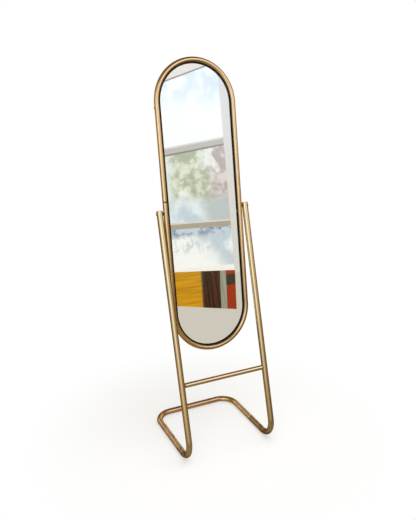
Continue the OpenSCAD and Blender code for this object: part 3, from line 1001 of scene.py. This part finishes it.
def window():
    """A plain sash window in a pale wall, in front of the object on the right, and a
    row of plain coloured boxes under it: glowing cards which only the mirror sees."""
    paints = {name: glowing(name + "_paint", tone) for name, tone in CARD_PAINTS.items()}
    card("outdoor_view", (0.15, 1.50), (0.60, 0.60), (2.9, 2.9), 0.0, outdoors())
    card("window_jamb", (1.338, 2.3, 2.3, 1.475), (0.60, 0.60), (2.9, 2.9), 0.01,
         paints["wall_card"])
    for name, paint, left, right, low, high, step, rise in WINDOW_CARDS:
        card(name, (left, right), (low, low + rise), (high, high + rise), step,
             paints[paint])
    boxes = {"gap": paints["gap_card"], "red_box": two_part("red_box_paint")}
    for name, *stripes in STRIPED:
        boxes[name] = striped(name + "_paint", *stripes)
    for name, left, right, lean in BOXES:
        low, high = (np.interp((left, right), BOX_ENDS, ends)
                     for ends in (BOX_BOTTOMS, BOX_TOPS))
        card(name + "_card", (left - lean, right - lean, right, left), low, high, 0.02,
             boxes[name])


def striped(name, axis, fineness, dark, pale):
    """Card paint with soft uneven stripes across one axis."""
    paint = glowing(name)
    stretch = [0.02, 0.02, 0.02]
    stretch[axis] = 1.0
    lines = paint.noise(fineness, 1.0, place=paint.mapped(stretch))
    return paint.set({"Color": paint.tones(lines, 0.42, 0.56, dark, pale)})


def two_part(name):
    """Red card paint with a dark part near the top of the box."""
    paint = glowing(name)
    level = paint.split(paint.place)[2]
    red = paint.blend(paint.noise(30.0), (0.31, 0.018, 0.004), (0.40, 0.026, 0.006))
    dark = paint.times(paint.ramp(level, 0.500, 0.506), paint.ramp(level, 0.598, 0.592))
    return paint.set({"Color": paint.blend(dark, red, (0.024, 0.018, 0.014))})


def outdoors():
    """Soft out-of-focus outdoors: white sky with a blue breath at its top, then pale
    leaves and a brick tone on the right, then a white and pale blue street."""
    paint = glowing("outdoor_paint")
    tones = paint.tones
    across, _, height = paint.split(paint.place)
    soft = paint.noise(5.0, 3.0)
    leaves = paint.noise(11.0, 5.0, 0.62)
    patch = paint.noise(7.0, place=paint.mapped((1.0, 1.0, 0.6), shift=(3.0, 1.0, 5.0)))
    strokes = paint.noise(17.0, 3.0, 0.6, 0.6, paint.mapped((1.6, 1.0, 0.9)))

    # The middle pane: leaves, bricks on their right, bright gaps, and haze below.
    green = tones(leaves, 0.40, 0.62, (0.45, 0.49, 0.31), (0.82, 0.85, 0.70))
    brick = tones(leaves, 0.42, 0.60, (0.50, 0.43, 0.38), (0.80, 0.71, 0.68))
    mixed = tones(across, 1.18, 1.26, green, brick)
    gaps = paint.ramp(patch, 0.56, 0.64, 0.0, 0.7)
    mixed = paint.blend(gaps, mixed, (1.03, 1.04, 1.02))
    mixed = tones(across, 0.92, 0.82, mixed, (0.86, 0.90, 0.82))
    haze = tones(soft, 0.40, 0.60, (0.60, 0.71, 0.76), (0.88, 0.95, 0.97))
    haze = tones(across, 1.05, 1.22, haze, (0.55, 0.60, 0.60))
    mixed = tones(height, 1.34, 1.20, mixed, haze)

    # The lower pane: a pale street, white at its lower left, with a shade on top.
    street = tones(soft, 0.42, 0.66, (0.60, 0.69, 0.75), (0.98, 1.01, 1.02))
    slant = paint.plus(across, paint.times(height, 0.9))
    street = tones(slant, 2.00, 1.72, street, (1.05, 1.05, 1.00))
    stroked = paint.times(paint.ramp(strokes, 0.46, 0.60, 0.0, 0.8),
                          paint.ramp(height, 0.80, 0.86))
    street = paint.blend(stroked, street, (0.62, 0.72, 0.76))
    shade = tones(leaves, 0.42, 0.56, (0.22, 0.28, 0.36), (0.60, 0.72, 0.80))
    street = tones(height, 0.93, 1.00, street, shade)
    lower = tones(height, 1.04, 1.06, street, mixed)

    # The upper pane, whose lower edge rises with the bar across the window.
    sky = tones(patch, 0.42, 0.60, (0.78, 0.89, 1.03), (1.02, 1.04, 1.06))
    sky = tones(height, 2.26, 1.98, sky, (1.05, 1.05, 1.05))
    level = paint.minus(height, paint.times(across, 0.123))
    return paint.set({"Color": tones(level, 1.580, 1.590, lower, sky)})


class FLOORMIRROR_OT_studio(bpy.types.Operator):
    """Lays the pale floor and sets up the white surround, the soft lamps, the glowing brown
    tent that the brass sees and the plain glowing window that the mirror faces"""

    bl_idname = "floor_mirror.studio"
    bl_label = "Studio"

    def execute(self, context):
        studio = context.scene.floor_mirror_studio
        surround(studio)
        floor(studio)
        lamps(studio)
        tent()
        window()
        return {"FINISHED"}


class VIEW3D_PT_floor_mirror(bpy.types.Panel):
    """Lists the pieces, the stage and their settings"""

    bl_label = "Floor Mirror"
    bl_idname = "VIEW3D_PT_floor_mirror"
    bl_space_type = "VIEW_3D"
    bl_region_type = "UI"
    bl_category = "Floor Mirror"

    def draw(self, context):
        for operator in OPERATORS:
            self.layout.operator(operator.bl_idname)
        for name, settings in SETTINGS:
            box = self.layout.box()
            for key in settings.__annotations__:
                box.prop(getattr(context.scene, name), key)


OPERATORS = (
    FLOORMIRROR_OT_camera,
    FLOORMIRROR_OT_shared_effects,
    FLOORMIRROR_OT_legs,
    FLOORMIRROR_OT_base,
    FLOORMIRROR_OT_crossbar,
    FLOORMIRROR_OT_frame,
    FLOORMIRROR_OT_pivots,
    FLOORMIRROR_OT_gasket,
    FLOORMIRROR_OT_glass,
    FLOORMIRROR_OT_board,
    FLOORMIRROR_OT_studio,
)

CLASSES = (*(settings for _, settings in SETTINGS), *OPERATORS, VIEW3D_PT_floor_mirror)


def register():
    """Registers settings, operators and panel, and puts the settings on the scene."""
    for each in CLASSES:
        bpy.utils.register_class(each)
    for name, settings in SETTINGS:
        setattr(bpy.types.Scene, name, bpy.props.PointerProperty(type=settings))


def unregister():
    """Takes away what register put in."""
    for name, _ in SETTINGS:
        delattr(bpy.types.Scene, name)
    for each in reversed(CLASSES):
        bpy.utils.unregister_class(each)


def main():
    register()
    bpy.context.scene.view_settings.view_transform = "Standard"
    for operator in OPERATORS:
        getattr(bpy.ops.floor_mirror, operator.bl_idname.split(".")[1])()
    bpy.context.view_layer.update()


if __name__ == "__main__":
    main()
